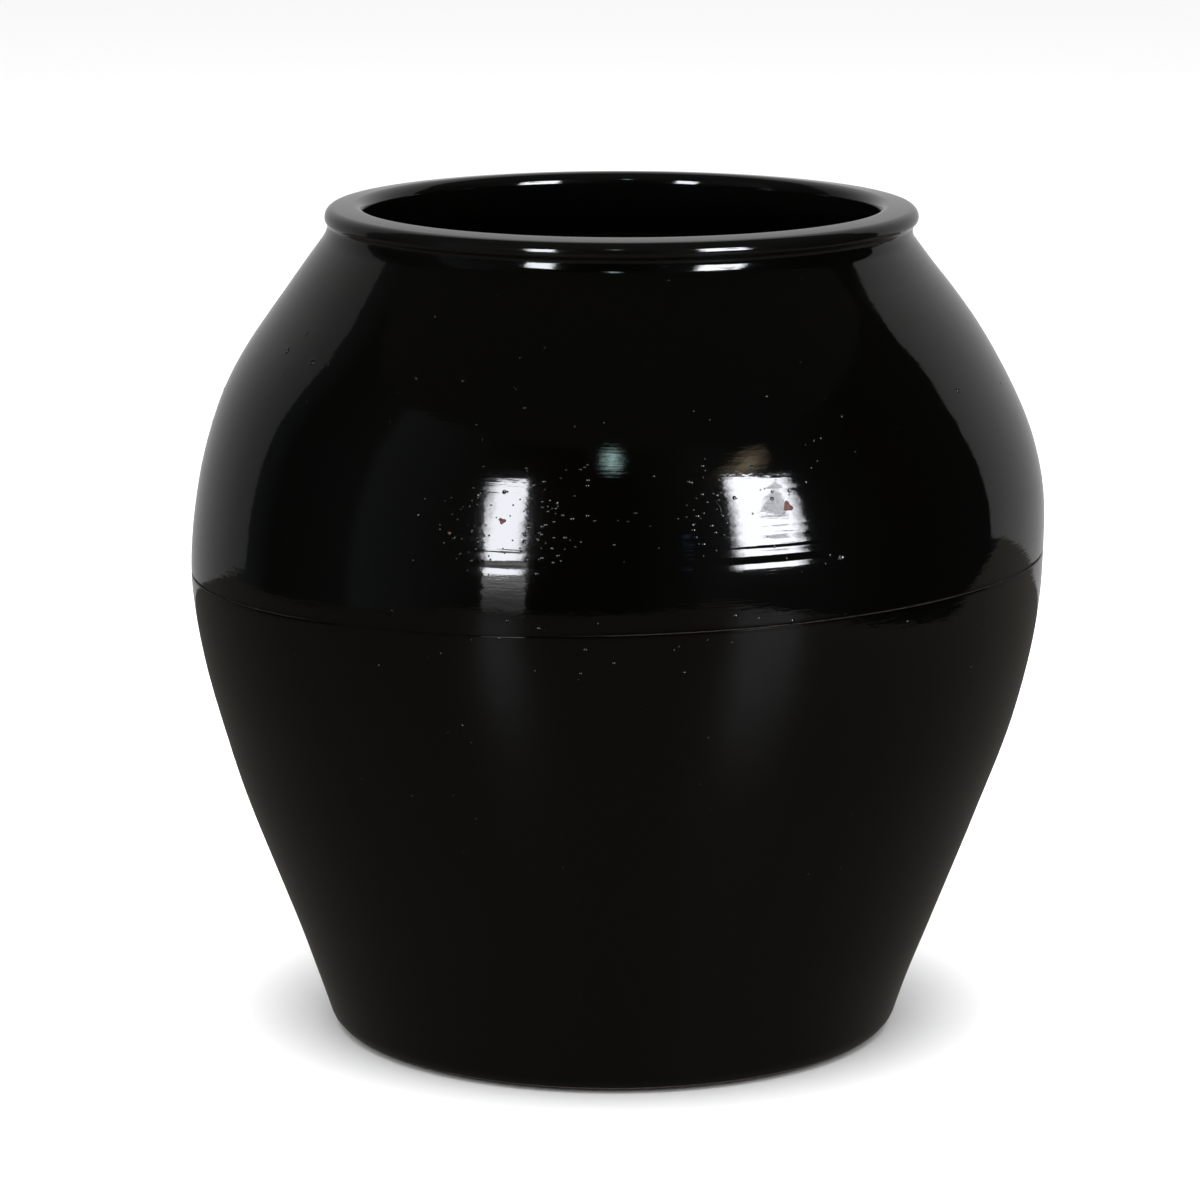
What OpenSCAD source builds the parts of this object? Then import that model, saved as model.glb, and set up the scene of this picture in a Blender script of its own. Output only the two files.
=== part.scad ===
// Black-glazed storage jar: two thrown sections luted together at the belly,
// a slab floor, a rolled lip and a glass coat outside and inside.
// Millimetres, +Z up. The origin is the centre of the foot, on the table.

/* [Body] */
// Height from the table to the top of the lip
pot_h = 420.5; // [380:1:480]
// Width at the belly, over the glaze and the seam
belly_d = 432; // [410:1:470]
// Height of the widest part above the table
belly_h = 246; // [220:1:270]
// Thickness of the wall, both coats of glaze included
wall_t = 13; // [8:0.5:18]
// Thickness of the floor at its middle
floor_t = 17; // [10:0.5:24]

/* [Foot] */
// Width of the flat ring of clay that meets the table
foot_d = 269; // [240:1:300]
// Radius between the underside and the wall
foot_round = 11.5; // [6:0.5:16]
// Lean of the wall where it leaves the foot, in degrees from upright
foot_lean = 17.5; // [8:1:24]
// Radius of the clay coil pressed into the corner inside
corner_r = 26; // [14:1:34]

/* [Seam] */
// Height of the band of clay that joins the two sections
seam_h = 16; // [8:1:24]
// How far the band stands out of the wall
seam_proud = 0.8; // [0.2:0.1:1.5]

/* [Lip] */
// Width over the rolled lip
lip_d = 296; // [280:1:310]
// Clear width of the mouth
mouth_d = 256; // [236:1:266]
// Width at the bottom of the groove under the lip
groove_d = 292; // [280:1:294]
// Depth of that groove below the top of the lip
groove_drop = 12.3; // [10:0.1:16]
// Fall of the lip's top face towards its outer edge, in degrees
lip_slope = 5; // [1:1:10]

/* [Shoulder] */
// Slope of the shoulder where it meets the neck, in degrees from level
neck_slope = 54; // [44:1:60]
// Radius of the hollow between the shoulder and the groove
neck_round = 11; // [6:0.5:14]

/* [Glaze] */
// Thickness of the fired glaze
glaze_t = 0.6; // [0.3:0.1:1.2]
// Height at which the foot was wiped clean of glaze
glaze_stop = 3; // [2:0.5:6]

/* [Hidden] */

fn_turn = 128;         // facets of a full turn
steps = 20;            // pieces of each long curve
short_steps = 8;       // and of a short one
bend_steps = 6;        // and of a tight bend
tiny = 0.01;           // points closer together than this are one point
foot_pull = 79;        // how far the wall keeps the foot's lean
low_pull = 79;         // how far the wall stays upright below the belly
high_pull = 77;        // and above it
neck_pull = 51;        // how far the shoulder keeps the neck's slope
roll_low = 2.5;        // how far the roll stays upright above the groove
roll_high = 3;         // and below its own widest line
lip_out_r = 5;         // rounding of the lip's outer edge
lip_in_r = 5.5;        // rounding of its inner edge
throat_drop = 16;      // how far the lip's clay reaches down past the neck
throat_lean = 8;       // how far the throat leans in at its foot, and rises there
throat_hold = 20;      // height over which the mouth is upright
coil_low = 0.6;        // share of the corner coil that stays level on the floor
coil_side = 0.22;      // how far its upper end leans off the wall
coil_high = 0.5;       // and over what share of its height
feather = 2;           // where the corner coil has thinned out, below its top
spacing = 1;           // least distance between points where two curves meet
edge_start = 95;       // angle at which the mouth's rounded edge meets the lip's top

belly_r = belly_d / 2 - seam_proud;
lip_r = lip_d / 2;
mouth_r = mouth_d / 2;
groove_r = groove_d / 2;
groove_z = pot_h - groove_drop;
lip_top = [mouth_r + lip_in_r, pot_h];
lip_in_c = lip_top - [0, lip_in_r];
lip_out_c = [lip_r - lip_out_r, lip_in_c.y + (lip_in_r - lip_out_r) * cos(lip_slope)
    - (lip_r - lip_out_r - lip_in_c.x) * tan(lip_slope)];
seam_edge = 1.5;       // height of the band's sloping edges
seam_lo = belly_h - seam_edge;
seam_hi = seam_lo + seam_h;
floor_z = floor_t - glaze_t;

// ---- curves ----

// Points on a cubic curve, without its first point
function curve(a, b, c, d, n) = [for (i = [1:n]) let (t = i / n, s = 1 - t)
    s * s * s * a + 3 * s * s * t * b + 3 * s * t * t * c + t * t * t * d];

// Points on an arc, from one angle to another
function arc(centre, r, from, to, n) =
    [for (i = [0:n]) centre + r * dir(from + (to - from) * i / n)];

function dir(angle) = [cos(angle), sin(angle)];
function flip(pts) = [for (i = [len(pts) - 1:-1:0]) pts[i]];
function unit(v) = v / norm(v);

// Left-hand normal of a line of points at point i
function normal_at(pts, i) = let (
    a = pts[max(i - 1, 0)],
    b = pts[min(i + 1, len(pts) - 1)],
    along = unit(b - a)) [-along.y, along.x];

// The same line moved to its left by a distance
function beside(pts, d) = [for (i = [0:len(pts) - 1]) pts[i] + d * normal_at(pts, i)];

// Radius of a rising line of points at a height
function radius_at(pts, z) = lookup(z, [for (p = pts) [p.y, p.x]]);

// The part of a rising line above a height, below a height, and between two
function above(pts, z) = concat([[radius_at(pts, z), z]], [for (p = pts) if (p.y > z + tiny) p]);
function below(pts, z) = concat([for (p = pts) if (p.y < z - tiny) p], [[radius_at(pts, z), z]]);
function between(pts, z0, z1) = below(above(pts, z0), z1);
function without_last(pts) = [for (i = [0:len(pts) - 2]) pts[i]];
function without_first(pts) = [for (i = [1:len(pts) - 1]) pts[i]];

// ---- the finished surface, from the table up ----

foot_c = [foot_d / 2, foot_round];
foot_arc = arc(foot_c, foot_round, -90, -foot_lean, bend_steps);
foot_end = foot_arc[len(foot_arc) - 1];
belly = [belly_r, belly_h];
groove = [groove_r, groove_z];
hollow = arc(groove + [neck_round, 0], neck_round, 270 - neck_slope, 180, bend_steps);
neck = hollow[0];
lip_side = lip_out_c + [lip_out_r, 0];

low_curve = curve(foot_end, foot_end + foot_pull * dir(90 - foot_lean),
    belly - [0, low_pull], belly, steps);
high_curve = curve(belly, belly + [0, high_pull],
    neck + neck_pull * dir(-neck_slope), neck, steps);
roll_curve = curve(groove, groove + [0, roll_low], lip_side - [0, roll_high], lip_side,
    bend_steps);
lip_edge = arc(lip_out_c, lip_out_r, 0, 90 - lip_slope, bend_steps);
plain_side = concat(foot_arc, low_curve, high_curve, without_first(hollow), roll_curve,
    without_first(lip_edge));

// The band at the belly stands out of the wall, with a sloping edge above and below
band = [for (z = [seam_lo + seam_edge, belly_h + seam_h / 2, seam_hi - seam_edge])
    [radius_at(plain_side, z) + seam_proud, z]];
outside = concat(below(plain_side, seam_lo), band, above(plain_side, seam_hi), [lip_top]);

// Clay under the outer glaze: the coat thins out to nothing at the wiped foot
outside_clay = [for (i = [0:len(outside) - 1])
    outside[i] + glaze_t * min(1, outside[i].y / glaze_stop) * normal_at(outside, i)];

// ---- inside, also from the floor up ----

wall_line = beside(concat(foot_arc, low_curve, high_curve), wall_t);
coil_top = floor_t + corner_r;
coil_r = radius_at(wall_line, coil_top);
floor_r = radius_at(wall_line, floor_t) - corner_r;
coil_curve = curve([floor_r, floor_t], [floor_r + corner_r * coil_low, floor_t],
    [coil_r - corner_r * coil_side, coil_top - corner_r * coil_high], [coil_r, coil_top],
    short_steps);
throat_z = neck.y - throat_drop;
throat = [radius_at(wall_line, throat_z), throat_z];
mouth_side = lip_in_c - [lip_in_r, 0];
throat_curve = curve(throat, throat + throat_lean * [-1, 1], mouth_side - [0, throat_hold],
    mouth_side, short_steps);
mouth_edge = without_first(arc(lip_in_c, lip_in_r, 180, edge_start, bend_steps));
inside = concat([[floor_r, floor_t]], coil_curve,
    [for (p = wall_line) if (p.y > coil_top + spacing && p.y < throat_z - spacing) p],
    [throat], throat_curve, mouth_edge, [lip_top]);
inside_clay = beside(inside, -glaze_t);
wall_clay = beside(wall_line, -glaze_t);

// ---- sub-parts ----

module turned(outline) {
    rotate_extrude($fn = fn_turn) polygon(outline);
}

// A ring of clay between two heights of the wall
module wall_ring(z0, z1, inner) {
    turned(concat(between(outside_clay, z0, z1), flip(between(inner, z0, z1))));
}

// Slab of clay that the jar stands on
module base_disc() {
    color("#3a2a22")
        turned(concat([[0, 0]], below(outside_clay, floor_z), [[0, floor_z]]));
}

// Coil pressed into the corner of floor and wall
module corner_coil() {
    face = below(inside_clay, coil_top - feather);
    back = between(wall_clay, floor_z, coil_top - feather);
    color("#453126")
        turned(concat([[face[0].x, floor_z]], face, flip(back)));
}

module lower_wall() {
    color("#2b2421") wall_ring(floor_z, seam_lo, wall_clay);
}

module seam_band() {
    color("#4a3a30") wall_ring(seam_lo, seam_hi, wall_clay);
}

module shoulder_wall() {
    color("#2b2421") wall_ring(seam_hi, throat_z, wall_clay);
}

// Lip, neck and the last of the shoulder, thrown as one thick coil
module rim_coil() {
    color("#3a2a22")
        turned(concat(above(outside_clay, throat_z),
            flip(above(without_last(inside_clay), throat_z))));
}

module outer_glaze() {
    color("#0a0a0b")
        turned(concat(above(outside, glaze_stop), flip(above(outside_clay, glaze_stop))));
}

module inner_glaze() {
    color("#101010")
        turned(concat([[0, floor_t]], inside, flip(inside_clay), [[0, floor_z]]));
}

base_disc();
corner_coil();
lower_wall();
seam_band();
shoulder_wall();
rim_coil();
outer_glaze();
inner_glaze();
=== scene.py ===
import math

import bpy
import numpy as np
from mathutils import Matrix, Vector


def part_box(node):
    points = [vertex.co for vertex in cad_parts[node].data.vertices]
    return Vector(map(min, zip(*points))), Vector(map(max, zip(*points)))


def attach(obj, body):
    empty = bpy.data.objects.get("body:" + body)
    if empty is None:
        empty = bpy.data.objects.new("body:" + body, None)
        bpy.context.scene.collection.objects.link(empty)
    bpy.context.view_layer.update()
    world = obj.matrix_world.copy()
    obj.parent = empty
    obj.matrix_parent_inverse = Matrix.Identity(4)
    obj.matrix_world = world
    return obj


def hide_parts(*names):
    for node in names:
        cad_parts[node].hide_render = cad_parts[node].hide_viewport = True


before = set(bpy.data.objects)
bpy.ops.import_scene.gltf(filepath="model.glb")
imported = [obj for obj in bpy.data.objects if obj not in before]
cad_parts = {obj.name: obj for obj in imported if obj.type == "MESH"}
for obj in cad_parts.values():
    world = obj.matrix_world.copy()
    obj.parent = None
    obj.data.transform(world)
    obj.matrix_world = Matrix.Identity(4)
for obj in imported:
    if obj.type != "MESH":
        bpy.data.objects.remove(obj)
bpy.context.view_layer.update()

# A stoneware storage jar in a glossy iron-black glaze. It was thrown in two sections that
# were joined at the belly. Metres, +Z up, the centre of the foot on the floor at the origin.
# The camera stands on the -Y side, with +X to the right.

MM = 0.001

# ---- sizes, from the frame where it has them ----

foot_glaze_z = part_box("outer_glaze")[0].z
top_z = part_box("outer_glaze")[1].z
belly_box_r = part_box("outer_glaze")[1].x
seam_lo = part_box("seam_band")[0].z
seam_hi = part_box("seam_band")[1].z
floor_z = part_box("base_disc")[1].z
throat_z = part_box("rim_coil")[0].z

HAND_ROOM = 0.9 * MM          # what the uneven making takes out of the belly's width
LIP_ROOM = 1.5 * MM           # and out of the height, because the lip isn't quite level
WALL = 13 * MM                # wall with both coats
COAT = 1.2 * MM               # the coat as drawn, thick enough to stay over the clay
FOOT_R, FOOT_ROUND, FOOT_LEAN = 134.5 * MM, 11.5 * MM, 17.5
LIP_R, MOUTH_R, LIP_SLOPE = 148 * MM, 128 * MM, 5
LIP_OUT_ROUND, LIP_IN_ROUND = 5 * MM, 5.5 * MM
GROOVE_R, GROOVE_DROP = 146 * MM, 12.3 * MM
NECK_ROUND, NECK_SLOPE = 11 * MM, 54
SKIN = 0.6 * MM               # the fired glaze itself, over the floor's clay
SEAM_EDGE = 1.5 * MM          # height of the seam band's sloping edge, below the widest part
CORNER = 26 * MM              # coil in the corner of floor and wall, inside
COIL_LOW, COIL_SIDE, COIL_HIGH = 0.6, 0.22, 0.5   # shares of it: level, off the wall, down from its top
FOOT_PULL, BELLY_PULL_LOW = 79 * MM, 79 * MM      # how far the wall keeps its lean at the foot and belly
BELLY_PULL_HIGH, NECK_PULL = 77 * MM, 51 * MM     # and above the belly and at the neck
ROLL_LOW, ROLL_HIGH = 2.5 * MM, 3 * MM            # how far the roll stays upright low down and high up
THROAT_LEAN, THROAT_HOLD = 8 * MM, 20 * MM        # how the throat leans in, and where it stands upright
LIP_TILT = 1.1 * MM           # how much lower the lip is at the front, and higher at the back
SEAM_DROP = 4.5 * MM          # from the widest part down to the joint line that still shows
SEAM_HALF = 0.8 * MM          # half the width of the open joint
SEAM_DARK = 1.3 * MM          # and of the dark line of painted shade that it makes
SEAM_TILT_X, SEAM_TILT_Y = 6 * MM, 2 * MM   # how much the joint climbs to the right and the front
SEAM_REACH = 45 * MM          # how far above and below it the lines of the throwing climb too
BELLY_ROUND = 220 * MM        # radius of the belly's own curve, from below it to above it

# How far the jar leans to the right: from height, to height, and by how much between the two
FOOT_LEFT = -2.3 * MM
LEANS = [(20 * MM, 60 * MM, 0.6 * MM), (115 * MM, 165 * MM, 1.2 * MM), (232 * MM, 284 * MM, 2.0 * MM),
         (300 * MM, 335 * MM, -0.8 * MM), (340 * MM, 364 * MM, 0.5 * MM), (372 * MM, 394 * MM, -0.7 * MM),
         (402 * MM, 414 * MM, 1.4 * MM)]

AROUND = 448                  # facets of a full turn on the outer coats
AROUND_INSIDE = 256           # on the coat inside and the foot
CLAY_AROUND = 160             # and on the clay under the coats
RINGS, LIP_RINGS, INNER_RINGS = 0.12 * MM, 0.08 * MM, 0.4 * MM   # depth of the throwing rings
UNEVEN = 1.2 * MM             # how far the wall wanders in and out
SEAM_CUT = 0.45 * MM          # depth of the open joint
belly_z = seam_lo + SEAM_EDGE
belly_r = belly_box_r - HAND_ROOM
seam_z = belly_z - SEAM_DROP

# Height, depth and half height of the lines scored in the wall; a negative depth is a ridge
MARKS = [
    (308 * MM, 0.05 * MM, 1.0 * MM), (291.5 * MM, 0.06 * MM, 0.7 * MM), (287 * MM, 0.16 * MM, 1.2 * MM),
    (283.5 * MM, -0.08 * MM, 1.5 * MM), (280 * MM, 0.20 * MM, 1.1 * MM), (277 * MM, -0.10 * MM, 1.0 * MM),
    (273 * MM, 0.22 * MM, 1.6 * MM), (214 * MM, 0.08 * MM, 2.0 * MM), (206 * MM, -0.06 * MM, 3.0 * MM),
]
RIBBED = [290 * MM, 283 * MM, 277 * MM, 270 * MM, 308 * MM]


# ---- outline of the wall, as points (radius, height) ----

def direction(degrees):
    return np.array([math.cos(math.radians(degrees)), math.sin(math.radians(degrees))])


def curve(a, b, c, d, count):
    """Points on a cubic curve from a to d, without a."""
    t = np.arange(1, count + 1)[:, None] / count
    s = 1 - t
    return s**3 * a + 3 * s * s * t * b + 3 * s * t * t * c + t**3 * d


def arc(centre, radius, start, end, count):
    return np.array([centre + radius * direction(a) for a in np.linspace(start, end, count + 1)])


def beside(line, distance):
    """The same line moved to its left."""
    along = np.gradient(line, axis=0)
    along /= np.linalg.norm(along, axis=1)[:, None]
    return line + distance * np.stack([-along[:, 1], along[:, 0]], 1)


def radius_at(line, z):
    return float(np.interp(z, line[:, 1], line[:, 0]))


def between(line, low, high, step=8 * MM, marks=(), reach=5 * MM, fine=0.5 * MM, also=()):
    """The part of a rising line between two heights, in steps that are finer near its marks."""
    levels = [low]
    while levels[-1] < high:
        close = any(abs(levels[-1] - mark) < reach for mark in marks)
        levels.append(levels[-1] + (fine if close else step))
    levels[-1] = high
    levels += [z for z in also if low < z < high]
    return np.array([[radius_at(line, z), z] for z in sorted(levels)])


def scored(line):
    """How deep each point of the line is scored by the ribs and fingers that threw the wall."""
    depth = np.zeros(len(line))
    for mark, cut, width in MARKS:
        depth += cut * np.exp(-((line[:, 1] - mark) / width) ** 2)
    return depth


foot_line = arc(np.array([FOOT_R, FOOT_ROUND]), FOOT_ROUND, -90, -FOOT_LEAN, 10)
belly = np.array([belly_r, belly_z])
UP = np.array([0, 1])
groove = np.array([GROOVE_R, top_z - GROOVE_DROP])
hollow = arc(groove + [NECK_ROUND, 0], NECK_ROUND, 270 - NECK_SLOPE, 180, 14)
neck = hollow[0]
lip_top = np.array([MOUTH_R + LIP_IN_ROUND, top_z - LIP_ROOM])
lip_in_c = lip_top - [0, LIP_IN_ROUND]
lip_out_r = LIP_R - LIP_OUT_ROUND
lip_fall = (lip_out_r - lip_in_c[0]) * math.tan(math.radians(LIP_SLOPE))
lip_out_c = np.array([lip_out_r, lip_in_c[1] - lip_fall
                      + (LIP_IN_ROUND - LIP_OUT_ROUND) * math.cos(math.radians(LIP_SLOPE))])
lip_side = lip_out_c + [LIP_OUT_ROUND, 0]
mouth_side = lip_in_c - [LIP_IN_ROUND, 0]

FINE = 600                    # points on the two long curves
low_line = curve(foot_line[-1], foot_line[-1] + FOOT_PULL * direction(90 - FOOT_LEAN),
                 belly - BELLY_PULL_LOW * UP, belly, FINE)
high_line = curve(belly, belly + BELLY_PULL_HIGH * UP, neck + NECK_PULL * direction(-NECK_SLOPE), neck, FINE)
roll_line = curve(groove, groove + ROLL_LOW * UP, lip_side - ROLL_HIGH * UP, lip_side, 10)
lip_out = arc(lip_out_c, LIP_OUT_ROUND, 0, 90 - LIP_SLOPE, 12)
lip_in = arc(lip_in_c, LIP_IN_ROUND, 90 - LIP_SLOPE, 180, 8)
wall_outside = np.concatenate([foot_line, low_line, high_line])
wall_inside = beside(wall_outside, WALL)

throat_r = radius_at(wall_inside, throat_z)
throat = np.array([throat_r, throat_z])
throat_line = curve(throat, throat + [-THROAT_LEAN, THROAT_LEAN], mouth_side - THROAT_HOLD * UP,
                    mouth_side, 16)
floor_top = floor_z + SKIN
coil_top = floor_top + CORNER
coil_r = radius_at(wall_inside, coil_top)
floor_r = radius_at(wall_inside, floor_top) - CORNER
coil_line = curve(np.array([floor_r, floor_top]), np.array([floor_r + COIL_LOW * CORNER, floor_top]),
                  np.array([coil_r - COIL_SIDE * CORNER, coil_top - COIL_HIGH * CORNER]),
                  np.array([coil_r, coil_top]), 12)


def skin_outline(face, back):
    """Closed outline of a coat, its face up and its back down, and how many points the face has."""
    return np.concatenate([face, back[::-1]]), len(face)


# ---- nodes ----

def add(tree, kind, inputs=None, stops=None, **settings):
    """Adds a node. inputs maps a socket to a value or to another node's output."""
    made = tree.nodes.new(kind)
    for name, value in settings.items():
        setattr(made, name, value)
    for place, value in (inputs or {}).items():
        if isinstance(value, bpy.types.NodeSocket):
            tree.links.new(value, made.inputs[place])
        else:
            made.inputs[place].default_value = value
    if stops:
        ramp = made.color_ramp.elements
        while len(ramp) < len(stops):
            ramp.new(0.5)
        for element, (place, colour) in zip(ramp, stops):
            element.position = place
            element.color = colour
    return made


def colour(code):
    """An sRGB hex code as linear red, green, blue and 1."""
    parts = [int(code[i:i + 2], 16) / 255 for i in (1, 3, 5)]
    return [p / 12.92 if p <= 0.04045 else ((p + 0.055) / 1.055) ** 2.4 for p in parts] + [1.0]


def grey(value):
    return [value, value, value, 1.0]


# ---- materials ----

def new_material(name):
    material = bpy.data.materials.new(name)
    material.use_nodes = True
    material.node_tree.nodes.clear()
    return material, material.node_tree


def finish_material(tree, shader):
    add(tree, "ShaderNodeOutputMaterial", {"Surface": shader.outputs[0]})


def iron_black_glaze(name, rough, base, thin):
    """Iron-black stoneware glaze, poured and fired to a glassy coat.

    It gives the eye near-mirror reflections over a body that is almost pure black, with the
    fine level lines of the throwing under it. In the joint its reflection is turned off, a painted shade that
    makes a dark line.
    """
    material, tree = new_material(name)
    place = add(tree, "ShaderNodeTexCoord").outputs["Object"]
    # throwing lines about 1.2 mm apart that run 25 mm or so along the wall
    drawn = add(tree, "ShaderNodeMapping", {"Vector": place, "Scale": (40, 40, 800)})
    lines = add(tree, "ShaderNodeTexNoise", {"Vector": drawn.outputs[0], "Scale": 1.0, "Detail": 2.0})
    # a soft orange-peel ripple, about 6 mm long and 3 mm high
    drawn_peel = add(tree, "ShaderNodeMapping", {"Vector": place, "Scale": (170, 170, 340)})
    peel = add(tree, "ShaderNodeTexNoise", {"Vector": drawn_peel.outputs[0], "Scale": 1.0, "Detail": 2.0})
    patch = add(tree, "ShaderNodeTexNoise", {"Vector": place, "Scale": 14.0, "Detail": 2.0})
    streak = add(tree, "ShaderNodeMapRange", {
        "Value": patch.outputs["Fac"], "From Min": 0.4, "From Max": 0.65, "To Min": 0.25, "To Max": 1.0})
    lined = add(tree, "ShaderNodeMath", {0: lines.outputs["Fac"], 1: streak.outputs[0]}, operation="MULTIPLY")
    soft = add(tree, "ShaderNodeMath", {0: peel.outputs["Fac"], 1: 0.9}, operation="MULTIPLY")
    height = add(tree, "ShaderNodeMath", {0: lined.outputs[0], 1: soft.outputs[0]}, operation="ADD")
    bump = add(tree, "ShaderNodeBump", {"Height": height.outputs[0], "Strength": 0.12, "Distance": 0.3 * MM})
    # the body of the glass is a little browner where it ran thinner
    tint = add(tree, "ShaderNodeMix", {0: patch.outputs["Fac"], 6: colour(base), 7: colour(thin)},
               data_type="RGBA")
    dull = add(tree, "ShaderNodeMapRange", {
        "Value": patch.outputs["Fac"], "From Min": 0.3, "From Max": 0.7,
        "To Min": rough, "To Max": rough + 0.03})
    # painted shade: where the joint's attribute is high, the reflection is turned down to nothing
    dry = add(tree, "ShaderNodeAttribute", attribute_name="dry")
    shine = add(tree, "ShaderNodeMapRange", {"Value": dry.outputs["Fac"], "To Min": 0.5, "To Max": 0.0})
    shader = add(tree, "ShaderNodeBsdfPrincipled", {
        "Base Color": tint.outputs[2], "Roughness": dull.outputs[0], "IOR": 1.52, "Normal": bump.outputs[0],
        "Specular IOR Level": shine.outputs[0]})
    finish_material(tree, shader)
    return material


def broken_spot():
    """Iron-red clay at the bottom of a burst bubble: a dry, dark red-brown fleck in the gloss."""
    material, tree = new_material("broken_spot")
    place = add(tree, "ShaderNodeTexCoord").outputs["Object"]
    grain = add(tree, "ShaderNodeTexNoise", {"Vector": place, "Scale": 1500.0, "Detail": 2.0})
    tint = add(tree, "ShaderNodeValToRGB", {"Fac": grain.outputs["Fac"]},
               stops=[(0.35, colour("#1d0a06")), (0.7, colour("#6a2c18"))])
    shader = add(tree, "ShaderNodeBsdfPrincipled", {
        "Base Color": tint.outputs[0], "Roughness": 0.6, "IOR": 1.5})
    finish_material(tree, shader)
    return material


def bare_stoneware():
    """Stoneware fired without glaze: a dark brown, dry, slightly gritty face."""
    material, tree = new_material("bare_stoneware")
    place = add(tree, "ShaderNodeTexCoord").outputs["Object"]
    grit = add(tree, "ShaderNodeTexNoise", {"Vector": place, "Scale": 900.0, "Detail": 3.0})
    tint = add(tree, "ShaderNodeValToRGB", {"Fac": grit.outputs["Fac"]},
               stops=[(0.35, colour("#1e1511")), (0.7, colour("#4a362a"))])
    bump = add(tree, "ShaderNodeBump", {"Height": grit.outputs["Fac"], "Strength": 0.6, "Distance": 0.3 * MM})
    shader = add(tree, "ShaderNodeBsdfPrincipled", {
        "Base Color": tint.outputs[0], "Roughness": 0.85, "IOR": 1.5, "Normal": bump.outputs[0]})
    finish_material(tree, shader)
    return material


outer_glaze = iron_black_glaze("iron_black_glaze", 0.04, "#010101", "#020100")
lip_glaze = iron_black_glaze("iron_black_glaze_lip", 0.05, "#040404", "#070605")
inner_glaze = iron_black_glaze("iron_black_glaze_inside", 0.07, "#0f100e", "#141310")
break_red = broken_spot()
clay = bare_stoneware()


# ---- the turned pieces ----

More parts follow.
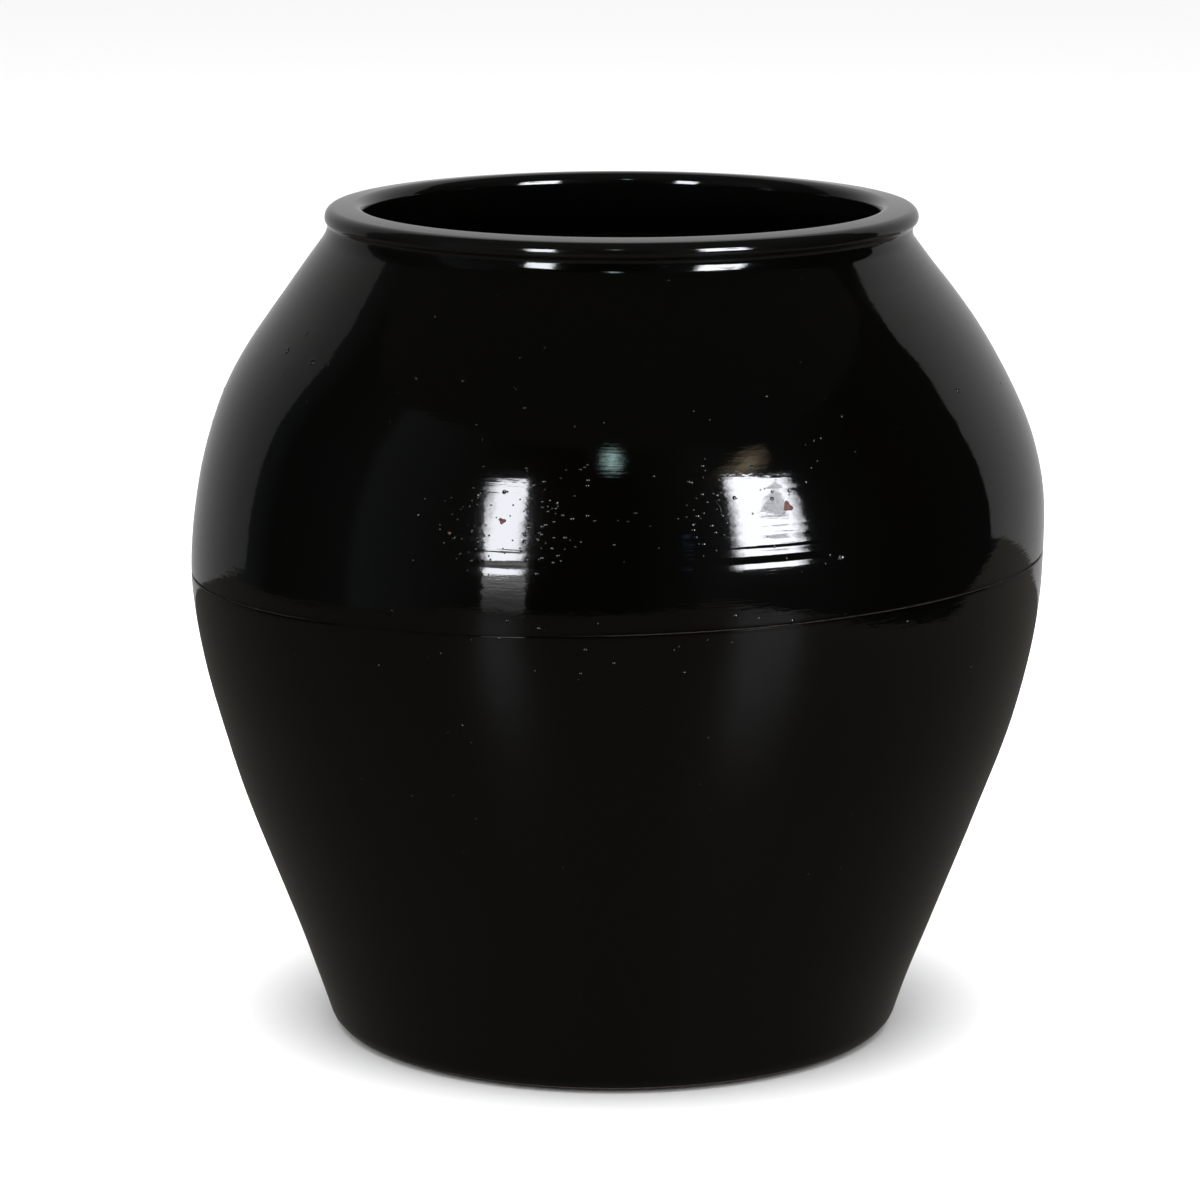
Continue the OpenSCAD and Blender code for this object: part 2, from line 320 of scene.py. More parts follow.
def turning_tree():
    """Geometry Nodes: turns a closed outline into a thrown skin with its maker's marks."""
    tree = bpy.data.node_groups.new("thrown_skin", "GeometryNodeTree")
    sides = tree.interface
    sides.new_socket("Outline", in_out="INPUT", socket_type="NodeSocketGeometry")
    for name in ("Facets", "Points"):
        sides.new_socket(name, in_out="INPUT", socket_type="NodeSocketInt")
    for name in ("Ring depth", "Uneven", "Seam cut"):
        sides.new_socket(name, in_out="INPUT", socket_type="NodeSocketFloat")
    sides.new_socket("Finish", in_out="INPUT", socket_type="NodeSocketMaterial")
    sides.new_socket("Skin", in_out="OUTPUT", socket_type="NodeSocketGeometry")
    given = add(tree, "NodeGroupInput").outputs

    def maths(operation, *values):
        return add(tree, "ShaderNodeMath", dict(enumerate(values)), operation=operation).outputs[0]

    def noise(at, seed, scale):
        texture = add(tree, "ShaderNodeTexNoise", {"Vector": at, "W": seed, "Scale": scale, "Detail": 1.0},
                      noise_dimensions="4D")
        return maths("SUBTRACT", texture.outputs["Fac"], 0.5)

    def ramp(value, low, high):
        made = add(tree, "ShaderNodeMapRange", {"Value": value, "From Min": low, "From Max": high},
                   interpolation_type="SMOOTHSTEP")
        return made.outputs[0]

    def bump(value, middle, half):
        away = maths("DIVIDE", maths("SUBTRACT", value, middle), half)
        return maths("EXPONENT", maths("MULTIPLY", maths("MULTIPLY", away, away), -1.0))

    # a sheet whose long side goes round and whose short side follows the outline
    rows = maths("ADD", given["Points"], 1)
    columns = maths("ADD", given["Facets"], 1)
    sheet = add(tree, "GeometryNodeMeshGrid", {
        "Size X": 1.0, "Size Y": 1.0, "Vertices X": columns, "Vertices Y": rows})
    at = add(tree, "ShaderNodeSeparateXYZ", {0: add(tree, "GeometryNodeInputPosition").outputs[0]}).outputs
    turn = maths("MULTIPLY", maths("ADD", at["X"], 0.5), math.tau)
    step = maths("ROUND", maths("MULTIPLY", maths("ADD", at["Y"], 0.5), given["Points"]))
    index = maths("MODULO", step, given["Points"])
    spot = add(tree, "GeometryNodeSampleIndex", {
        "Geometry": given["Outline"], "Index": index,
        "Value": add(tree, "GeometryNodeInputPosition").outputs[0]}, data_type="FLOAT_VECTOR")
    face = add(tree, "GeometryNodeSampleIndex", {
        "Geometry": given["Outline"], "Index": index,
        "Value": add(tree, "GeometryNodeInputNamedAttribute", {"Name": "face"}).outputs[0]})
    score = add(tree, "GeometryNodeSampleIndex", {
        "Geometry": given["Outline"], "Index": index,
        "Value": add(tree, "GeometryNodeInputNamedAttribute", {"Name": "score"}).outputs[0]})
    faced = add(tree, "GeometryNodeStoreNamedAttribute", {
        "Geometry": sheet.outputs["Mesh"], "Name": "face", "Value": face.outputs[0]}, domain="POINT")
    marked = add(tree, "GeometryNodeStoreNamedAttribute", {
        "Geometry": faced.outputs[0], "Name": "score", "Value": score.outputs[0]}, domain="POINT")
    line = add(tree, "ShaderNodeSeparateXYZ", {0: spot.outputs[0]}).outputs
    turned = add(tree, "ShaderNodeCombineXYZ", {
        0: maths("MULTIPLY", line["X"], maths("COSINE", turn)),
        1: maths("MULTIPLY", line["X"], maths("SINE", turn)), 2: line["Z"]})
    wall = add(tree, "GeometryNodeSetPosition", {
        "Geometry": marked.outputs[0], "Position": turned.outputs[0]})
    closed = add(tree, "GeometryNodeMergeByDistance", {"Geometry": wall.outputs[0], "Distance": 0.001 * MM})

    # rings, scores and the joint line are on the face only; the rest moves face and back alike
    here = add(tree, "GeometryNodeInputPosition").outputs[0]
    parts = add(tree, "ShaderNodeSeparateXYZ", {0: here}).outputs
    drawn = add(tree, "ShaderNodeVectorMath", {0: here, 1: (2.5, 2.5, 130.0)}, operation="MULTIPLY")
    rings = maths("MULTIPLY", noise(drawn.outputs[0], 3.0, 1.0), given["Ring depth"])
    open_seam = maths("ADD", 0.12, maths("ADD", maths("MULTIPLY", noise(here, 5.0, 9.0), 0.9),
                                         maths("MULTIPLY", ramp(parts["X"], -40 * MM, 20 * MM), 0.75)))
    open_left = maths("MULTIPLY", ramp(parts["X"], -125 * MM, -165 * MM), 0.9)
    opened = maths("MAXIMUM", maths("ADD", open_seam, open_left), 0.05)
    from_seam = maths("ABSOLUTE", maths("SUBTRACT", parts["Z"], seam_z))
    notch = maths("MAXIMUM", 0.0, maths("SUBTRACT", 1.0, maths("DIVIDE", from_seam, SEAM_HALF)))
    cut = maths("MULTIPLY", notch, maths("MULTIPLY", opened, given["Seam cut"]))
    # the ribs bit in places only, most of all right of the front
    bitten = maths("ADD", maths("MULTIPLY", bump(parts["X"], 85 * MM, 45 * MM), 1.0),
                   maths("MULTIPLY", bump(parts["X"], -52 * MM, 30 * MM), 0.55))
    patchy = maths("ADD", 0.8, maths("MULTIPLY", noise(here, 9.0, 12.0), 1.6))
    scored_in = add(tree, "GeometryNodeInputNamedAttribute", {"Name": "score"}).outputs[0]
    scores = maths("MULTIPLY", scored_in, maths("MULTIPLY", patchy, bitten))
    kept = add(tree, "GeometryNodeInputNamedAttribute", {"Name": "face"}).outputs[0]
    relief = maths("MULTIPLY", maths("SUBTRACT", rings, maths("ADD", cut, scores)), kept)
    # painted shade: deep in the joint the glaze is set to throw nothing back, so the joint shows as a dark
    # line
    joint_shade_share = maths("MULTIPLY", maths("MINIMUM", opened, 1.0), bump(parts["Z"], seam_z, SEAM_DARK))
    dry = maths("MULTIPLY", kept, joint_shade_share)
    joint_shade_stored = add(tree, "GeometryNodeStoreNamedAttribute", {
        "Geometry": closed.outputs[0], "Name": "dry", "Value": dry}, domain="POINT")
    ringed = add(tree, "GeometryNodeSetPosition", {
        "Geometry": joint_shade_stored.outputs[0],
        "Offset": add(tree, "ShaderNodeVectorMath", {
            0: add(tree, "GeometryNodeInputNormal").outputs[0], "Scale": relief},
            operation="SCALE").outputs[0]})
    out = add(tree, "ShaderNodeVectorMath", {
        0: add(tree, "ShaderNodeVectorMath", {0: here, 1: (1, 1, 0)}, operation="MULTIPLY").outputs[0]},
        operation="NORMALIZE").outputs[0]
    ripple = maths("MULTIPLY", noise(here, 2.0, 18.0), 0.12)
    uneven = maths("MULTIPLY", maths("ADD", noise(here, 7.0, 4.0), ripple), given["Uneven"])
    lean = FOOT_LEFT
    for low, high, by in LEANS:
        lean = maths("ADD", lean, maths("MULTIPLY", ramp(parts["Z"], low, high), by))
    in_lip = ramp(parts["Z"], neck[1] - 30 * MM, groove[1])
    tilt = maths("MULTIPLY", in_lip, maths("MULTIPLY", parts["Y"], LIP_TILT / LIP_R))
    slant = maths("SUBTRACT", maths("MULTIPLY", parts["X"], SEAM_TILT_X / belly_r),
                  maths("MULTIPLY", parts["Y"], SEAM_TILT_Y / belly_r))
    climb = maths("MULTIPLY", bump(parts["Z"], seam_z, SEAM_REACH), slant)
    # what climbs moves along the belly's curve, so that the shape of the wall stays as it was
    above = maths("MULTIPLY", maths("SUBTRACT", parts["Z"], belly_z), 2.0)
    drawn_in = maths("MULTIPLY", climb, maths("DIVIDE", maths("ADD", above, climb), -2 * BELLY_ROUND))
    pushed = add(tree, "ShaderNodeVectorMath", {0: out, "Scale": maths("ADD", uneven, drawn_in)},
                 operation="SCALE").outputs[0]
    aside = add(tree, "ShaderNodeCombineXYZ", {0: lean, 2: maths("ADD", tilt, climb)}).outputs[0]
    moved = add(tree, "ShaderNodeVectorMath", {0: pushed, 1: aside})
    made = add(tree, "GeometryNodeSetPosition", {"Geometry": ringed.outputs[0], "Offset": moved.outputs[0]})
    real = add(tree, "GeometryNodeRealizeInstances", {"Geometry": made.outputs[0]})
    coated = add(tree, "GeometryNodeSetMaterial", {
        "Geometry": real.outputs[0], "Material": given["Finish"]})
    add(tree, "NodeGroupOutput", {0: coated.outputs[0]})
    return tree


thrown_skin = turning_tree()


def run_nodes(name, source, tree, settings):
    """A plain mesh object made by running a Geometry Nodes tree on a source mesh."""
    holder = bpy.data.objects.new(name + "_source", source)
    bpy.context.scene.collection.objects.link(holder)
    modifier = holder.modifiers.new(name, "NODES")
    modifier.node_group = tree
    for item in tree.interface.items_tree:
        if item.in_out == "INPUT" and item.name in settings:
            modifier[item.identifier] = settings[item.name]
    bpy.context.view_layer.update()
    mesh = bpy.data.meshes.new_from_object(holder.evaluated_get(bpy.context.evaluated_depsgraph_get()))
    bpy.data.objects.remove(holder)
    mesh.name = name
    made = bpy.data.objects.new(name, mesh)
    bpy.context.scene.collection.objects.link(made)
    return made


def face_outwards(mesh):
    """Turns a closed mesh right side out if its volume comes out negative."""
    mesh.calc_loop_triangles()
    places = np.array([v.co for v in mesh.vertices])
    corners = places[np.array([t.vertices[:] for t in mesh.loop_triangles])]
    volume = np.einsum("ij,ij->i", corners[:, 0], np.cross(corners[:, 1], corners[:, 2])).sum()
    if volume < 0:
        mesh.flip_normals()


def turned_piece(name, outline, face_count, material, slot, nodes, facets=CLAY_AROUND, ring_depth=0.0,
                 scores=False):
    """One thrown piece: its closed outline turned round, with the jar's own unevenness."""
    source = bpy.data.meshes.new(name + "_outline")
    source.from_pydata([(r, 0, z) for r, z in outline], [], [])
    mark = source.attributes.new("face", "FLOAT", "POINT")
    mark.data.foreach_set("value", [float(i < face_count) for i in range(len(outline))])
    cut = source.attributes.new("score", "FLOAT", "POINT")
    cut.data.foreach_set("value", scored(outline) * scores)
    piece = run_nodes(name, source, thrown_skin, {
        "Facets": facets, "Points": len(outline), "Ring depth": ring_depth, "Uneven": UNEVEN,
        "Seam cut": SEAM_CUT, "Finish": material})
    face_outwards(piece.data)
    piece.data.shade_smooth()
    piece.data.set_sharp_from_angle(angle=math.radians(40))
    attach(piece, "root")
    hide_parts(*nodes)
    return piece


# ---- coats ----

STEP = 2.4 * MM               # between the rows of facets on a coat's face
BACK_STEP, INNER_STEP = 6 * MM, 3 * MM   # and on its hidden back, and inside the jar
TUCK, TUCK_CLEAR = 0.9 * MM, 2 * MM      # how deep both coats turn in at the joint, and clear of it
plain_face = np.concatenate([wall_outside, hollow[1:]])
back_line = beside(between(plain_face, foot_glaze_z, groove[1], BACK_STEP), COAT)
tuck = [[radius_at(plain_face, seam_z) - TUCK, seam_z]]

seam_rows = seam_z + SEAM_HALF * np.array([-1.02, -0.98, -0.5, 0.5, 0.98, 1.02])
low_face = between(plain_face, foot_glaze_z, seam_z, STEP, [seam_z, *RIBBED], also=seam_rows)
low_back = back_line[back_line[:, 1] < seam_z - TUCK_CLEAR]
lower_coat = turned_piece("lower_coat", *skin_outline(np.concatenate([low_face, tuck]), low_back),
                          outer_glaze, "outer_glaze", ["outer_glaze"], AROUND, RINGS, True)

high_face = between(plain_face, seam_z, neck[1], STEP, [seam_z, *RIBBED], also=seam_rows)
high_back = back_line[back_line[:, 1] > seam_z + TUCK_CLEAR]
shoulder_face = np.concatenate([tuck, high_face, hollow[1:]])
shoulder_coat = turned_piece("shoulder_coat", *skin_outline(shoulder_face, high_back),
                             outer_glaze, "outer_glaze", ["outer_glaze"], AROUND, RINGS, True)

lip_face = np.concatenate([[groove], roll_line, lip_out[1:], lip_in, throat_line[::-1][1:]])
turned_piece("lip_coat", *skin_outline(lip_face, beside(lip_face, COAT)), lip_glaze, "outer_glaze",
             ["outer_glaze", "inner_glaze"], AROUND, LIP_RINGS)

inner_face = np.concatenate([between(wall_inside, coil_top + MM, throat_z, INNER_STEP)[::-1], coil_line[::-1],
                             [[floor_r, floor_top], [floor_r * 0.5, floor_top], [0.0, floor_top]]])
turned_piece("inner_coat", *skin_outline(inner_face, beside(inner_face, COAT)), inner_glaze, "inner_glaze",
             ["inner_glaze"], AROUND_INSIDE, INNER_RINGS)

# ---- clay ----

clay_outside = back_line
clay_inside = beside(wall_inside, -COAT)


def clay_ring(name, low, high, node):
    """One thrown section of the wall, between its coats."""
    outline = np.concatenate([between(clay_outside, low, high), between(clay_inside, low, high)[::-1]])
    turned_piece(name, outline, 0, clay, "bare_clay", [node])


base_outline = np.concatenate([[[0, 0]], foot_line[foot_line[:, 1] < foot_glaze_z],
                               between(clay_outside, foot_glaze_z, floor_z), [[0, floor_z]]])
turned_piece("base_clay", base_outline, 0, clay, "bare_clay", ["base_disc"], AROUND_INSIDE)
clay_ring("lower_wall_clay", floor_z, seam_z, "lower_wall")
clay_ring("seam_clay", seam_z, seam_hi, "seam_band")
clay_ring("shoulder_wall_clay", seam_hi, throat_z, "shoulder_wall")

lip_clay = np.concatenate([between(clay_outside, throat_z, groove[1] - MM, INNER_STEP),
                           beside(lip_face, COAT)])
turned_piece("lip_clay", lip_clay, 0, clay, "bare_clay", ["rim_coil"])
coil_back = between(clay_inside, floor_z, coil_top)
coil_outline = np.concatenate([[[floor_r, floor_z]], coil_line + [COAT, -COAT], coil_back[::-1]])
turned_piece("corner_coil_clay", coil_outline, 0, clay, "bare_clay", ["corner_coil"])


# ---- flaws in the glaze ----

def blemish(name, profile, sides=8, lobes=0.0):
    """A small closed shape, one metre in radius, that flaws are small copies of.

    The profile runs from the foot to the middle as (radius, height).
    """
    corners = []
    for radius, height in profile:
        for turn in np.arange(sides) * math.tau / sides:
            wide = radius * (1 + lobes * math.cos(3 * turn) + 0.4 * lobes * math.cos(2 * turn + 1))
            corners.append((wide * math.cos(turn), wide * math.sin(turn), height))
    faces = [tuple(reversed(range(sides))), tuple(range(len(corners) - sides, len(corners)))]
    for low in range(0, len(corners) - sides, sides):
        for side in range(sides):
            beyond = (side + 1) % sides
            faces.append((low + side, low + beyond, low + sides + beyond, low + sides + side))
    mesh = bpy.data.meshes.new(name)
    mesh.from_pydata(corners, [], faces)
    mesh.shade_smooth()
    shape = bpy.data.objects.new(name, mesh)
    bpy.context.scene.collection.objects.link(shape)
    return shape


def flaws_tree():
    """Geometry Nodes: sets a copy of a shape on a coat at the nearest spot to each given place."""
    tree = bpy.data.node_groups.new("glaze_flaws", "GeometryNodeTree")
    sides = tree.interface
    sides.new_socket("Places", in_out="INPUT", socket_type="NodeSocketGeometry")
    for name in ("Coat", "Shape"):
        sides.new_socket(name, in_out="INPUT", socket_type="NodeSocketObject")
    sides.new_socket("Finish", in_out="INPUT", socket_type="NodeSocketMaterial")
    sides.new_socket("Flaws", in_out="OUTPUT", socket_type="NodeSocketGeometry")
    given = add(tree, "NodeGroupInput").outputs
    coat = add(tree, "GeometryNodeObjectInfo", {"Object": given["Coat"]}).outputs["Geometry"]
    shape = add(tree, "GeometryNodeObjectInfo", {"Object": given["Shape"]}).outputs["Geometry"]
    nearest = add(tree, "GeometryNodeProximity", {0: coat}, target_element="FACES")
    placed = add(tree, "GeometryNodeSetPosition", {
        "Geometry": given["Places"], "Position": nearest.outputs["Position"]})
    out = add(tree, "GeometryNodeSampleNearestSurface", {
        0: coat, "Value": add(tree, "GeometryNodeInputNormal").outputs[0]}, data_type="FLOAT_VECTOR")
    facing = add(tree, "FunctionNodeAlignRotationToVector", {"Vector": out.outputs["Value"]}, axis="Z")
    size = add(tree, "GeometryNodeInputNamedAttribute", {"Name": "size"}).outputs[0]
    copies = add(tree, "GeometryNodeInstanceOnPoints", {
        "Points": placed.outputs[0], "Instance": shape, "Rotation": facing.outputs[0], "Scale": size})
    real = add(tree, "GeometryNodeRealizeInstances", {"Geometry": copies.outputs[0]})
    coated = add(tree, "GeometryNodeSetMaterial", {"Geometry": real.outputs[0], "Material": given["Finish"]})
    add(tree, "NodeGroupOutput", {0: coated.outputs[0]})
    return tree


def scattered(clusters, smallest, largest, seed):
    """Flaws as (turn, height, radius), most of them small, bunched in clusters.

    A cluster is its middle's turn and height, how far it spreads each way, and its count.
    """
    chance = np.random.default_rng(seed)
    flaws = []
    for turn, height, across, along, count in clusters:
        turns = turn + across * chance.standard_normal(count)
        heights = height + along * chance.standard_normal(count)
        radii = smallest + (largest - smallest) * chance.random(count) ** 3
        flaws += zip(turns, heights, radii)
    return flaws


def cracks(lines, radius, spacing=0.4):
    """Fine cracks as rows of beads between two places, each a (turn, height)."""
    beads = []
    for (turn, height), (end_turn, end_height) in lines:
        length = math.hypot(math.radians(end_turn - turn) * belly_r / MM, end_height - height)
        for t in np.linspace(0, 1, int(length / spacing) + 2):
            bow = 0.8 * math.sin(math.pi * t) / (belly_r / MM)
            beads.append((turn + t * (end_turn - turn) + math.degrees(bow),
                          height + t * (end_height - height), radius))
    return beads


def flaw_piece(name, coat, shape, flaws, low, high, finish=outer_glaze):
    """All the flaws of one kind on one coat, between two heights.

    Flaws are (turn, height, radius): the turn in degrees, -90 in front, the rest in mm.
    """
    kept = [flaw for flaw in flaws if low < flaw[1] * MM < high]
    source = bpy.data.meshes.new(name + "_places")
    places = []
    for turn, height, radius in kept:
        wall_r = radius_at(plain_face, height * MM)
        places.append((*(wall_r * direction(turn)), height * MM))
    source.from_pydata(places, [], [])
    size = source.attributes.new("size", "FLOAT", "POINT")
    size.data.foreach_set("value", [radius * MM for turn, height, radius in kept])
    piece = run_nodes(name, source, glaze_flaws, {"Coat": coat, "Shape": shape, "Finish": finish})
    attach(piece, "root")
    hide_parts("outer_glaze")


glaze_flaws = flaws_tree()
pimple = blemish("pimple_shape", [(1.0, -0.12), (0.8, 0.08), (0.45, 0.19), (0.15, 0.22)])
crater = blemish("crater_shape", [(1.0, -0.12), (0.76, 0.13), (0.52, 0.1), (0.2, 0.02)])
broken = blemish("broken_shape", [(1.0, -0.12), (0.9, 0.06), (0.7, 0.03), (0.3, 0.02)], 14, 0.28)

PIMPLES = scattered([
    (-108.5, 290, 1.2, 14, 36), (-100, 290, 1.4, 15, 40), (-104.5, 290, 2, 14, 8), (-96, 300, 3, 14, 12),
    (-79, 298, 1.6, 14, 34), (-62, 292, 1.8, 12, 26), (-70, 296, 4, 12, 8), (-112, 288, 4, 14, 12),
    (-130, 340, 20, 30, 24), (-45, 340, 20, 25, 24), (-90, 355, 30, 18, 20), (-100, 235, 30, 10, 30),
    (-90, 150, 50, 45, 60), (30, 260, 50, 60, 60), (150, 260, 50, 60, 60)], 0.45, 1.2, 4)
PIMPLES += [
    (-68, 247, 1.5), (-66, 245, 1.2), (-63, 243, 1.4), (-96, 297, 1.1), (-94.6, 320, 0.7), (-94.2, 321, 0.6),
    (-95.1, 319, 0.6), (-85.5, 316, 0.8), (-104, 249, 1.0), (-105, 240.5, 0.9), (-11.5, 383, 1.2)]
CRATERS = scattered([
    (-104, 296, 5, 14, 12), (-68, 296, 6, 16, 12), (-85, 300, 12, 20, 8), (-90, 150, 60, 60, 14),
    (30, 260, 50, 60, 14), (150, 260, 50, 60, 14)], 0.5, 1.2, 7)
CRATERS += [
    (-105, 308, 1.3), (-102, 286, 1.4), (-61, 275, 1.7), (-58, 310, 0.9), (-54, 312, 0.9), (-98, 304, 0.8),
    (-80.6, 294, 0.8), (-79.6, 344, 0.9), (-153, 357, 2.2), (-144, 355, 2.0), (-150, 366, 1.7),
    (-35, 376, 1.8), (-31.5, 340, 1.8), (-27, 352, 1.6)]
BROKEN = [(-105, 295, 1.6), (-68, 300, 2.4), (-66.8, 284, 0.9), (-112, 288, 0.8)]
CRACKS = cracks([((-62, 307), (-61.6, 299)), ((-61.8, 288), (-63.4, 282)), ((-68, 301), (-66.8, 307)),
                 ((-68, 299), (-69.8, 295)), ((-77.5, 304), (-77, 298))], 0.22)

for kind, shape, flaws in (("pimples", pimple, PIMPLES + CRACKS), ("craters", crater, CRATERS)):
    flaw_piece("lower_" + kind, lower_coat, shape, flaws, 12 * MM, seam_z)
    flaw_piece("shoulder_" + kind, shoulder_coat, shape, flaws, seam_z, neck[1])
flaw_piece("shoulder_breaks", shoulder_coat, broken, BROKEN, seam_z, neck[1], break_red)
for shape in (pimple, crater, broken):
    bpy.data.objects.remove(shape)


# ---- stage: a pale floor for the eye, and a dim room that only the gloss sees ----

def shown_to(thing, eye, gloss):
    thing.visible_camera = eye
    thing.visible_diffuse = eye
    thing.visible_shadow = eye
    thing.visible_glossy = gloss
    thing.visible_transmission = False


def stage_sheet(name, corners, faces, material):
    """A flat or folded sheet of the studio."""
    mesh = bpy.data.meshes.new(name)
    mesh.from_pydata(corners, [], faces)
    mesh.materials.append(material)
    thing = bpy.data.objects.new(name, mesh)
    bpy.context.scene.collection.objects.link(thing)
    return thing


def glow(name, strength, tint="#ffffff"):
    """A plain light-giving face."""
    material, tree = new_material(name)
    finish_material(tree, add(tree, "ShaderNodeEmission", {"Color": colour(tint), "Strength": strength}))
    return material


def card(name, corners, strength, tint="#ffffff"):
    """A glowing card that only the gloss sees."""
    thing = stage_sheet(name, corners, [range(len(corners))], glow(name, strength, tint))
    shown_to(thing, False, True)
    return thing


def wall_card(name, corners, strength, tint="#ffffff"):
    """A card on the far wall in front of the jar, its corners as (x, z)."""
    return card(name, [(x, FAR_WALL, z) for x, z in corners], strength, tint)


def ramped_glow(name, across, low, high, stops, tint="#ffffff"):
    """A glow whose strength changes along the place's X or Z, or with its turn about the jar."""
    material, tree = new_material(name)
    place = add(tree, "ShaderNodeTexCoord").outputs["Object"]
    parts = add(tree, "ShaderNodeSeparateXYZ", {0: place}).outputs
    measure = parts[across] if across in ("X", "Z") else None
    if across == "turn":
        front = add(tree, "ShaderNodeMath", {0: parts["Y"], 1: -1.0}, operation="MULTIPLY")
        measure = add(tree, "ShaderNodeMath", {0: parts["X"], 1: front.outputs[0]},
                      operation="ARCTAN2").outputs[0]
    share = add(tree, "ShaderNodeMapRange", {"Value": measure, "From Min": low, "From Max": high})
    ramp = add(tree, "ShaderNodeValToRGB", {"Fac": share.outputs[0]},
               stops=[((at - low) / (high - low), grey(value)) for at, value in stops])
    tinted = add(tree, "ShaderNodeMix", {0: 1.0, 6: ramp.outputs[0], 7: colour(tint)},
                 data_type="RGBA", blend_type="MULTIPLY")
    finish_material(tree, add(tree, "ShaderNodeEmission", {"Color": tinted.outputs[2], "Strength": 1.0}))
    return material


def hazy_lamp(name, x, z, wide, high, turn, strength, tint):
    """A lamp on the far wall, seen hazy: brightest in the middle and fading out to an oval edge."""
    material, tree = new_material(name)
    place = add(tree, "ShaderNodeTexCoord").outputs["Object"]
    centred = add(tree, "ShaderNodeMapping", {
        "Vector": place, "Location": (x, FAR_WALL, z), "Rotation": (0, math.radians(turn), 0),
        "Scale": (wide, 1, high)}, vector_type="TEXTURE")
    fade = add(tree, "ShaderNodeTexGradient", {"Vector": centred.outputs[0]},
               gradient_type="QUADRATIC_SPHERE")
    power = add(tree, "ShaderNodeMath", {0: fade.outputs["Fac"], 1: strength}, operation="MULTIPLY")
    light = add(tree, "ShaderNodeEmission", {"Color": colour(tint), "Strength": power.outputs[0]})
    clear = add(tree, "ShaderNodeBsdfTransparent")
    finish_material(tree, add(tree, "ShaderNodeAddShader", {0: light.outputs[0], 1: clear.outputs[0]}))
    reach = max(wide, high)
    corners = [(x + a * reach, FAR_WALL, z + b * reach) for a, b in ((-1, -1), (1, -1), (1, 1), (-1, 1))]
    shown_to(stage_sheet(name, corners, [(0, 1, 2, 3)], material), False, True)


FAR_WALL, BOARDS_END = -3.4, -2.0
ROOM_R, ROOM_LOW, ROOM_HIGH = 5.0, -1.2, 4.4
SHEET_Y, SHEET_TOP = 0.95, 1.9      # the pale paper that hangs close behind the jar

paper, paper_tree = new_material("pale_paper")
finish_material(paper_tree, add(paper_tree, "ShaderNodeBsdfDiffuse", {"Color": grey(0.9)}))
floor_corners = [(x, y, 0) for x, y in ((-8, -8), (8, -8), (8, 8), (-8, 8))]
floor = stage_sheet("floor", floor_corners, [(0, 1, 2, 3)], paper)
shown_to(floor, True, False)

# the dim room: how bright it is at each turn, from behind on the left round the front to behind on the right
ROOM_STOPS = [(-180, 0.10), (-112, 0.05), (-103, 0.02), (-85, 0.035), (-76, 0.045), (-72, 0.10), (-60, 0.08),
              (-48, 0.055), (-35, 0.03), (-20, 0.015), (0, 0.012), (12, 0.03), (24, 0.06), (32, 0.05),
              (55, 0.04), (65, 0.025), (80, 0.018), (114, 0.018), (120, 0.06), (180, 0.10)]
ROOM_SIDES = 72
around = np.radians(np.linspace(-180, 180, ROOM_SIDES + 1))
ring = [(ROOM_R * math.sin(a), -ROOM_R * math.cos(a)) for a in around]
room_corners = [(x, y, z) for z in (ROOM_LOW, ROOM_HIGH) for x, y in ring]
room_faces = [(i, i + 1, i + ROOM_SIDES + 2, i + ROOM_SIDES + 1) for i in range(ROOM_SIDES)]
room = stage_sheet("dim_room", room_corners, room_faces, ramped_glow(
    "dim_room", "turn", -math.pi, math.pi, [(math.radians(t), v) for t, v in ROOM_STOPS], "#eaffff"))
shown_to(room, False, True)
card("dim_ceiling", [(x, y, ROOM_HIGH) for x, y in ring[:-1]], 0.04, "#f0ffff")

# the wooden floor: a warm grey glow, stronger to the right, that is painted light standing in for the light
# on the boards, with a low polish that draws the windows out below the belly
BOARD_STOPS = [(-1.7, 0.075), (0.3, 0.085), (1.0, 0.12), (1.8, 0.14)]
boards = ramped_glow("polished_boards", "X", -1.75, 1.85, BOARD_STOPS, "#fdf8ea")
boards_tree = boards.node_tree
# the glow of the boards is painted light, not their own colour
painted_board_glow = boards_tree.nodes["Emission"]
polish = add(boards_tree, "ShaderNodeBsdfGlossy", {"Color": grey(0.02), "Roughness": 0.35})
both = add(boards_tree, "ShaderNodeAddShader", {0: painted_board_glow.outputs[0], 1: polish.outputs[0]})
boards_tree.links.new(both.outputs[0], boards_tree.nodes["Material Output"].inputs["Surface"])
room_floor = stage_sheet("room_floor", [(x, y, 0) for x, y in (
    (-1.75, BOARDS_END), (0.9, BOARDS_END), (1.05, 0.0), (1.85, 0.95), (1.85, 3.0), (-1.75, 3.0))],
    [range(6)], boards)
shown_to(room_floor, False, True)

# pale paper behind: it falls off towards the left
PAPER_STOPS = [(-2.4, 0.18), (-1.6, 0.22), (-1.1, 0.28), (-0.8, 0.34), (-0.55, 0.42), (-0.3, 0.50),
               (0.0, 0.55), (0.55, 0.50), (0.8, 0.45), (1.15, 0.40), (1.7, 0.36), (2.4, 0.32)]
paper_corners = [(x, SHEET_Y, z) for x, z in ((-2.3, 0), (2.3, 0), (2.3, SHEET_TOP), (-2.3, SHEET_TOP))]
behind = stage_sheet("pale_backdrop", paper_corners, [(0, 1, 2, 3)],
                     ramped_glow("pale_backdrop", "X", -2.4, 2.4, PAPER_STOPS))
shown_to(behind, False, True)

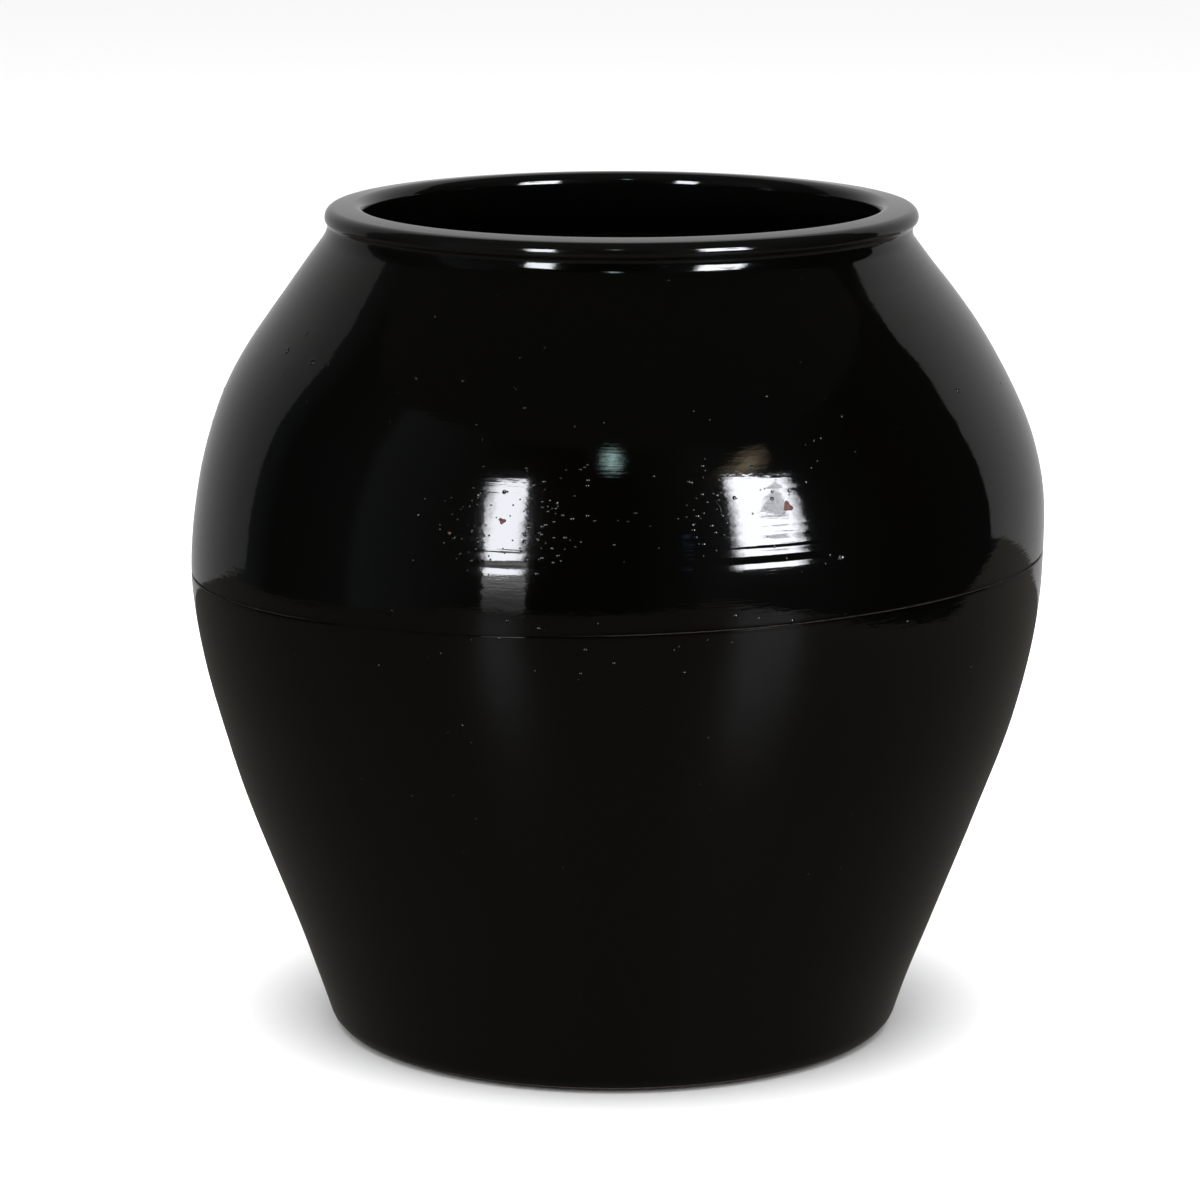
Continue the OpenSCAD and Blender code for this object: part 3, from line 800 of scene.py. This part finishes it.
DAYLIGHT = "#f6f8ff"
LEFT_STOPS = [(-2.7, 1.0), (-2.3, 22.0), (-1.74, 22.0), (-1.5, 1.0)]
left_corners = [(x, FAR_WALL, z) for x, z in ((-2.36, 0.47), (-1.53, 0.5), (-1.72, 2.28), (-2.7, 2.36))]
window_left = stage_sheet("left_window", left_corners, [(0, 1, 2, 3)],
                          ramped_glow("left_window", "X", -2.7, -1.5, LEFT_STOPS, DAYLIGHT))
shown_to(window_left, False, True)
# below the left window, a sill drawn as a glow that fades downwards: painted light from the window falling on
# it
SILL_STOPS = [(-0.4, 0.1), (0.1, 0.9), (0.47, 3.2)]
sill_corners = [(x, FAR_WALL, z) for x, z in ((-2.4, -0.4), (-1.5, -0.4), (-1.5, 0.47), (-2.4, 0.47))]
sill_left = stage_sheet("left_sill", sill_corners, [(0, 1, 2, 3)],
                        ramped_glow("left_sill", "Z", -0.4, 0.47, SILL_STOPS))
shown_to(sill_left, False, True)
# the right window goes on round the corner of the room
RIGHT_STOPS = [(1.8, 0.5), (1.93, 6.0), (2.1, 25.0), (3.45, 25.0), (3.65, 3.0)]
right_corners = [
    (1.8, FAR_WALL, 0.45), (3.4, FAR_WALL, 0.45), (3.65, -3.12, 0.45),
    (3.65, -3.12, 2.8), (3.4, FAR_WALL, 2.84), (1.92, FAR_WALL, 2.62)]
window_right = stage_sheet("right_window", right_corners, [(0, 1, 4, 5), (1, 2, 3, 4)],
                           ramped_glow("right_window", "X", 1.8, 3.65, RIGHT_STOPS, DAYLIGHT))
shown_to(window_right, False, True)
hazy_lamp("teal_lamp", -0.16, 2.76, 0.3, 0.46, 0, 12, "#c8f0ec")
hazy_lamp("amber_strip", 2.7, 3.1, 0.4, 1.5, 52, 3.2, "#f0dcb8")
wall_card("blue_lamp_high", [(0.94, 0.9), (1.1, 0.9), (1.1, 1.02), (0.94, 1.02)], 0.45, "#a8c0ff")
wall_card("blue_lamp_low", [(0.94, 0.52), (1.1, 0.52), (1.1, 0.62), (0.94, 0.62)], 0.45, "#a8c0ff")

world = bpy.data.worlds.new("soft_white")
bpy.context.scene.world = world
world.use_nodes = True
world.node_tree.nodes.clear()
sky = add(world.node_tree, "ShaderNodeBackground", {"Color": grey(1.0), "Strength": 1.0})
add(world.node_tree, "ShaderNodeOutputWorld", {"Surface": sky.outputs[0]})
world.cycles_visibility.glossy = False

lamp_data = bpy.data.lights.new("soft_top_light", "AREA")
lamp_data.shape = "DISK"
lamp_data.size = 3.0
lamp_data.energy = 200
lamp = bpy.data.objects.new("soft_top_light", lamp_data)
lamp.location = (0, -0.5, 3.2)
lamp.visible_glossy = False
bpy.context.scene.collection.objects.link(lamp)

# ---- camera ----

CAMERA_DOWN = 11.5            # degrees below level that it looks

camera_data = bpy.data.cameras.new("camera")
camera_data.lens = 139.7
camera_data.sensor_width = 36
camera = bpy.data.objects.new("camera", camera_data)
camera.location = (-0.0089, -2.317, 0.688)
camera.rotation_euler = (math.radians(90 - CAMERA_DOWN), 0, 0)
bpy.context.scene.collection.objects.link(camera)
bpy.context.scene.camera = camera
bpy.context.scene.view_settings.view_transform = "Standard"
